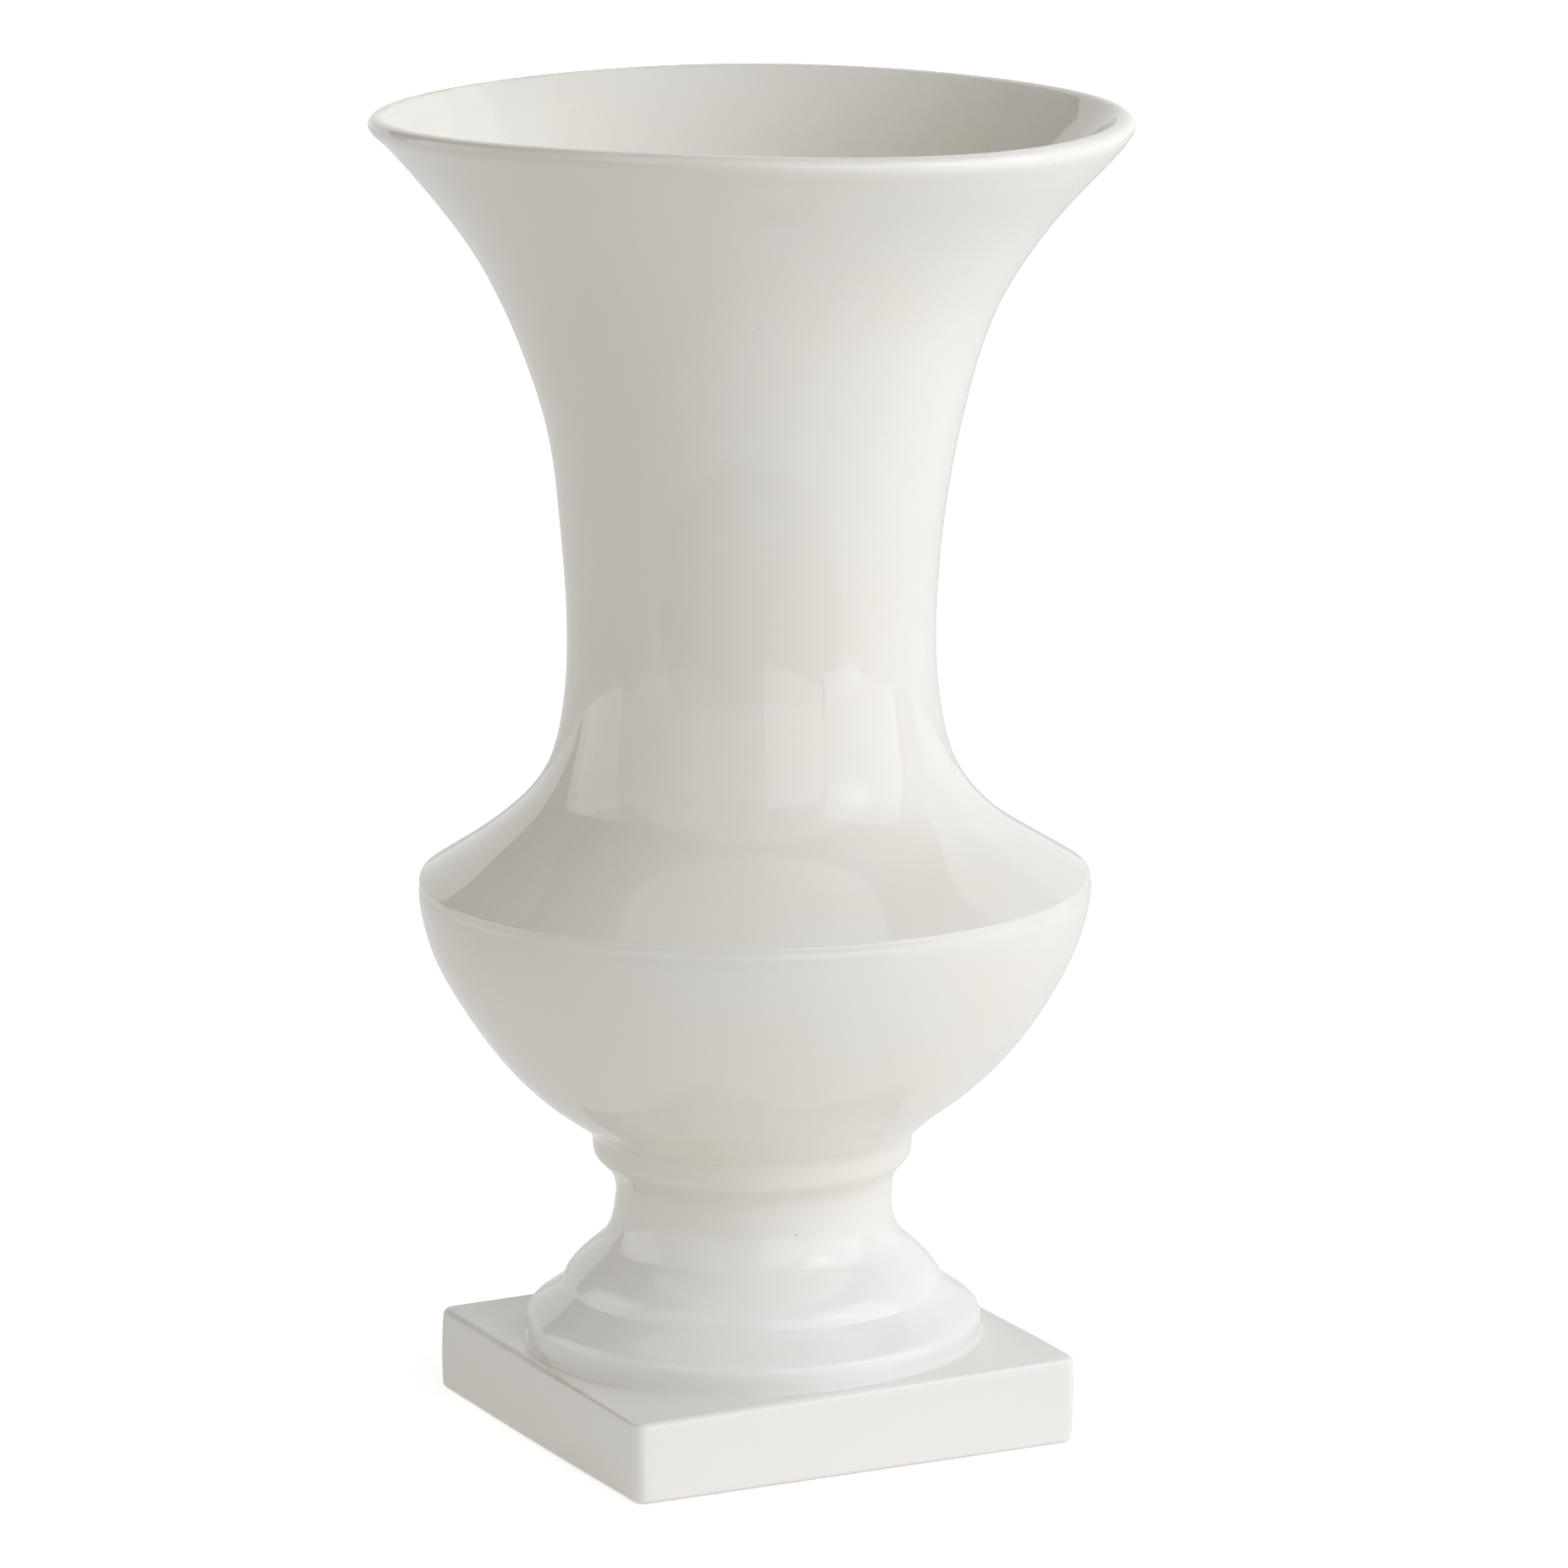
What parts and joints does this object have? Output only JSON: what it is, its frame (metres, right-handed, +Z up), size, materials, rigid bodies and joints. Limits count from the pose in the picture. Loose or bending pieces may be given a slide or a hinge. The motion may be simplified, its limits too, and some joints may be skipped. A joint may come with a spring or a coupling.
{
  "type": "footed vase",
  "caption": "Glazed ceramic footed vase with a flared mouth, waisted neck, ridged shoulder, round bowl, moulded stem and square plinth.",
  "frame": {"origin": "centre of the plinth's underside, on the surface that the vase stands on", "axes": "+Z up along the vase's axis, +X and +Y square to the plinth's sides"},
  "size_m": [0.188, 0.188, 0.3317],
  "materials": {
    "white_glaze": "gloss",
    "fired_slip": "matt"
  },
  "bodies": {
    "root": {"neck_section": "white_glaze", "shoulder_slip_seam": "fired_slip", "bowl_section": "white_glaze", "collar_slip_seam": "fired_slip", "pedestal": "white_glaze", "plinth_slip_seam": "fired_slip", "plinth": "white_glaze"}
  },
  "joints": []
}
